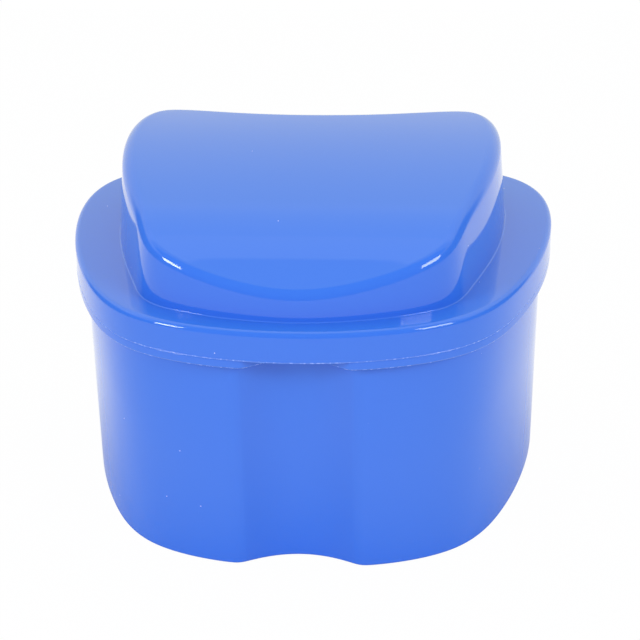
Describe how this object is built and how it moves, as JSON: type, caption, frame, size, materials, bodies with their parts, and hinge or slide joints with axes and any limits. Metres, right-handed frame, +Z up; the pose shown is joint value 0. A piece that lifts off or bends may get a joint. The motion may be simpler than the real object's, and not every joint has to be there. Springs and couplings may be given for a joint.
{
  "type": "denture case",
  "caption": "Denture case: an open bath with a finger groove, a hanging strainer basket with a lifting handle, and a lift-off lid with a hollow raised grip.",
  "frame": {"origin": "on the table, under the middle of the lid's outline", "axes": "+Z up, -Y towards the front, where the finger groove is, +X to the right as seen from the front"},
  "size_m": [0.095, 0.085, 0.0659],
  "materials": {
    "blue_plastic": "glossy moulded polypropylene",
    "white_plastic": "satin moulded polypropylene"
  },
  "bodies": {
    "case": {"case": "blue_plastic"},
    "basket": {"strainer_basket": "white_plastic"},
    "lid": {"lid": "blue_plastic"}
  },
  "joints": [
    {"name": "basket_lift", "type": "slide", "parent": "case", "child": "basket", "axis": [0, 0, 1], "range_m": [0, 0.045]},
    {"name": "lid_lift", "type": "slide", "parent": "basket", "child": "lid", "axis": [0, 0, 1], "range_m": [0, 0.03]}
  ]
}
